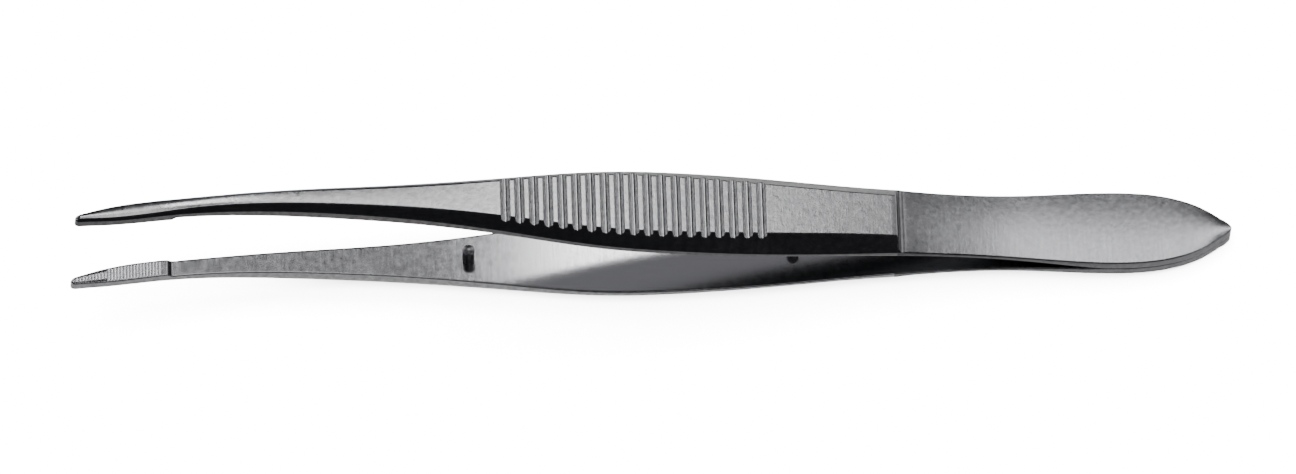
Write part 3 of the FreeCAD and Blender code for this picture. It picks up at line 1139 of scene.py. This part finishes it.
@dataclass
class StopPin:
    """A turned pin pressed into the lower arm, with a softly domed head."""

    form: ArmForm
    station: float
    height: float
    diameter: float = 1.2
    seat_depth: float = 1.2
    dome_rise: float = 0.2
    edge_ease: float = 0.03
    sides: int = 48

    DOME_SHARES = (0.94, 0.86, 0.72, 0.55, 0.38, 0.2, 0.08)  # of the radius, from the rim inwards

    def profile(self) -> list[tuple[float, float]]:
        """Draws the pin's outline.

        Returns:
            (radius, height above the inner face) places from the seat to the head's middle.
        """
        radius, ease = self.diameter / 2, self.edge_ease
        rim = self.height - self.dome_rise
        dome = (radius**2 + self.dome_rise**2) / (2 * self.dome_rise)
        seat = -self.seat_depth
        outline = [(0.0, seat), (radius - ease, seat), (radius, seat + ease), (radius, 0.0),
                   (radius, rim - 3 * ease), (radius, rim - ease)]
        for share in self.DOME_SHARES:
            rise = math.sqrt(dome**2 - (radius * share) ** 2)
            outline.append((radius * share, self.height - dome + rise))
        return outline + [(0.0, self.height)]

    def build(self, name: str, resting: RestingPlace, material: Material) -> Thing:
        """Turns the pin and stands it square on the lower arm's inner face.

        Args:
            name: Name of the piece.
            resting: How the tool lies in the frame.
            material: The pin's finish.

        Returns:
            The pin's object.
        """
        profile = self.profile()
        slope = (self.form.inner(self.station + 1) - self.form.inner(self.station - 1)) / 2
        axis = np.array([slope, 0.0, 1.0]) / math.hypot(slope, 1.0)
        beside = np.array([axis[2], 0.0, -axis[0]])
        across = np.array([0.0, 1.0, 0.0])
        foot = np.array([self.station, 0.0, -self.form.inner(self.station)])
        points = [foot + axis * profile[0][1]]
        for radius, height in profile[1:-1]:
            for side in range(self.sides):
                turn = 2 * math.pi * side / self.sides
                rim = beside * math.cos(turn) + across * math.sin(turn)
                points.append(foot + axis * height + rim * radius)
        points.append(foot + axis * profile[-1][1])
        faces: list[list[int]] = []
        tip = len(points) - 1
        for side in range(self.sides):
            near, far = 1 + side, 1 + (side + 1) % self.sides
            faces.append([0, far, near])
            for low in range(0, tip - 1 - self.sides, self.sides):
                high = low + self.sides
                faces.append([low + near, low + far, high + far, high + near])
            top = tip - 1 - self.sides
            faces.append([top + near, top + far, tip])
        pin = new_mesh_object(name, resting.to_frame(np.array(points)), faces)
        pin.data.materials.append(material)
        return pin


# ----- Studio -----


@dataclass(frozen=True)
class Softbox:
    """An area lamp that points at the middle of the forceps."""

    name: str
    towards: tuple[float, float, float]
    distance: float
    size: tuple[float, float]
    radiance: float
    reach: LampReach = LampReach.STEEL_AND_FLOOR

    def build(self, target: Vector) -> None:
        """Hangs the lamp.

        Args:
            target: The point that the lamp faces.
        """
        direction = Vector(self.towards).normalized()
        data = bpy.data.lights.new(self.name, "AREA")
        data.shape = "RECTANGLE"
        data.size, data.size_y = self.size
        data.energy = self.radiance * math.pi * self.size[0] * self.size[1]
        lamp = link_object(self.name, data)
        lamp.location = target + direction * self.distance
        lamp.rotation_euler = direction.to_track_quat("Z", "Y").to_euler()
        lamp.visible_camera = False
        lamp.visible_glossy = self.reach is LampReach.STEEL_AND_FLOOR


@dataclass(frozen=True)
class GlowCard:
    """A strip of the table under the tool, as the steel sees it."""

    name: str
    front: float
    back: float
    strength: float
    half_length: float = 0.3

    def build(self, height: float) -> None:
        """Lays the card where only reflections see it.

        Args:
            height: Its level in metres.
        """
        card = new_card(self.name, self.half_length, self.front, self.back, height)
        glow = TableGlow(name=f"{self.name}_light", strength=self.strength)
        card.data.materials.append(glow.material())
        for ray in ("camera", "diffuse", "shadow", "transmission"):
            setattr(card, f"visible_{ray}", False)
        card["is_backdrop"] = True


@dataclass(frozen=True)
class LongLensCamera:
    """The photograph's viewpoint: almost square on, from high in front, with a long lens."""

    azimuth: float = 1.98
    elevation: float = 62.07
    roll: float = -4.25
    distance: float = 2.0
    frame_width: float = 128.3
    aim: tuple[float, float, float] = (0.171, 0.0, 6.437)
    aim_pixel: tuple[float, float] = (651.6, 233.6)
    image: tuple[int, int] = (1296, 474)
    sensor: float = 36.0
    clip: tuple[float, float] = (0.05, 20.0)

    def build(self) -> None:
        """Sets up the camera."""
        azimuth, elevation = math.radians(self.azimuth), math.radians(self.elevation)
        roll = math.radians(self.roll)
        towards = Vector((
            math.sin(azimuth) * math.cos(elevation),
            -math.cos(azimuth) * math.cos(elevation),
            math.sin(elevation),
        ))
        level = Vector((math.cos(azimuth), math.sin(azimuth), 0.0))
        upright = towards.cross(level)
        right = level * math.cos(roll) + upright * math.sin(roll)
        up = towards.cross(right)
        per_pixel = self.frame_width / self.image[0]
        middle = (
            Vector(self.aim)
            + right * (self.image[0] / 2 - self.aim_pixel[0]) * per_pixel
            - up * (self.image[1] / 2 - self.aim_pixel[1]) * per_pixel
        ) * MM
        data = bpy.data.cameras.new("long_lens_camera")
        data.sensor_fit = "HORIZONTAL"
        data.sensor_width = self.sensor
        data.lens = self.sensor * self.distance / (self.frame_width * MM)
        data.clip_start, data.clip_end = self.clip
        camera = link_object("long_lens_camera", data)
        turn = Matrix((right, up, towards)).transposed().to_4x4()
        camera.matrix_world = Matrix.Translation(middle + towards * self.distance) @ turn
        bpy.context.scene.camera = camera


@dataclass
class Studio:
    """White sweep, dark room and soft lamps."""

    floor_size: float = 6.0
    card_drop: float = 0.0004  # under the paper
    glow_cards: tuple[GlowCard, ...] = (
        GlowCard("far_front_table_glow", -0.014, -0.006, 0.2),
        GlowCard("near_front_table_glow", -0.006, 0.0, 0.5),
        GlowCard("near_back_table_glow", 0.0, 0.014, 0.9),
        GlowCard("far_back_table_glow", 0.014, 0.3, 0.42),
    )
    room_grey: str = "1E1E20"
    room_strength: float = 1.0
    lamps: tuple[Softbox, ...] = (
        Softbox("right_window", (0.257, 0.41, 0.88), 1.8, (0.2, 0.33), 4.75),
        Softbox("left_window", (-0.005, 0.45, 0.88), 4.0, (0.19, 0.8), 11.0),
        Softbox("wide_softbox", (0.137, 0.395, 0.9), 3.0, (0.33, 0.6), 2.0),
        Softbox("right_side_card", (0.62, 0.32, 0.7), 1.2, (0.7, 0.5), 0.3),
        Softbox("ceiling_card", (0.14, -0.02, 1.0), 1.6, (1.0, 0.42), 1.3),
        Softbox("front_right_card", (0.72, -0.56, 0.407), 1.5, (0.7, 0.8), 1.0),
        Softbox("back_right_card", (0.646, 0.646, 0.407), 1.5, (0.9, 0.8), 0.8),
        Softbox("back_left_card", (-0.646, 0.646, 0.407), 1.5, (0.9, 0.8), 0.8),
        Softbox("front_left_card", (-0.72, -0.56, 0.407), 1.5, (0.7, 0.8), 1.0),
        Softbox("right_end_card", (0.91, 0.02, 0.407), 1.5, (0.6, 0.8), 0.8),
        Softbox("left_end_card", (-0.91, 0.02, 0.407), 1.5, (0.6, 0.8), 0.8),
        Softbox("floor_bank", (0.0, 0.0, 1.0), 1.6, (3.4, 3.4), 36.0, LampReach.FLOOR_ONLY),
    )

    def build(self, height: float) -> None:
        """Lays the paper and its glow cards, darkens the room and hangs the lamps.

        Args:
            height: Level of the floor in metres.
        """
        half = self.floor_size / 2
        floor = new_card("paper_sweep", half, -half, half, height)
        floor.data.materials.append(SweepPaper().material())
        floor.visible_glossy = False
        floor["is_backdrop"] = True
        for card in self.glow_cards:
            card.build(height - self.card_drop)
        world = bpy.data.worlds.new("dark_room")
        world.use_nodes = True
        tree = world.node_tree
        tree.nodes.clear()
        values = {"Color": linear_rgba(self.room_grey), "Strength": self.room_strength}
        glow = add_node(tree, "Background", values=values).outputs["Background"]
        add_node(tree, "OutputWorld", links={"Surface": glow})
        bpy.context.scene.world = world
        for lamp in self.lamps:
            lamp.build(Vector(LAMP_TARGET))


@dataclass
class ThumbForceps:
    """The whole tool: two arms and two stop pins."""

    form: ArmForm
    resting: RestingPlace
    front_pin_setback: float = 3.0
    front_pin_height: float = 2.15
    rear_pin_setback: float = 3.5
    rear_pin_height: float = 2.6

    def build(self) -> list[Thing]:
        """Builds and dresses every piece and seats it on the frame.

        Returns:
            The pieces.
        """
        # the inner, leaf and pin steels carry painted shade in their darker tints
        finishes = {
            SteelZone.OUTER: SatinGroundSteel().material(),
            SteelZone.INNER: InnerShadeTintedSteel().material(),
            SteelZone.GROOVE: MilledGrooveSteel().material(),
            SteelZone.LEAF: LeafShadeTintedSteel().material(),
        }
        turned = TurnedShadeTintedSteel().material()
        form, lie = self.form, self.resting
        upper, lower = GroundArm(form, ArmPlace.UPPER), GroundArm(form, ArmPlace.LOWER)
        front = StopPin(form, form.first_groove - self.front_pin_setback, self.front_pin_height)
        rear = StopPin(form, form.last_groove + self.rear_pin_setback, self.rear_pin_height)
        made = [
            (upper.build("upper_ground_arm", lie, finishes), "upper_arm", "arm_steel"),
            (lower.build("lower_ground_arm", lie, finishes), "lower_arm", "arm_steel"),
            (front.build("front_turned_pin", lie, turned), "front_stop_pin", "pin_steel"),
            (rear.build("rear_turned_pin", lie, turned), "rear_stop_pin", "pin_steel"),
        ]
        for piece, node, slot in made:
            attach(piece, "root")
            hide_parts(node)
            LOG.info("%s for %s: %d faces", piece.name, node, len(piece.data.polygons))
        return [piece for piece, _, _ in made]


def main() -> None:
    """Builds the frame, the forceps and the studio, and fits the forceps and the floor to the
    frame's bounds.
    """
    logging.basicConfig(level=logging.INFO, format="%(name)s: %(message)s")
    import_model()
    cad_low, cad_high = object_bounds()
    form = ArmForm()
    resting = RestingPlace(form, Vector(cad_low), Vector(cad_high))
    LOG.info("resting pitch %.3f degrees", math.degrees(resting.pitch))
    pieces = ThumbForceps(form, resting).build()
    LOG.info("%d pieces", len(pieces))
    Studio().build(cad_low[2])
    LongLensCamera().build()


if __name__ == "__main__":
    main()
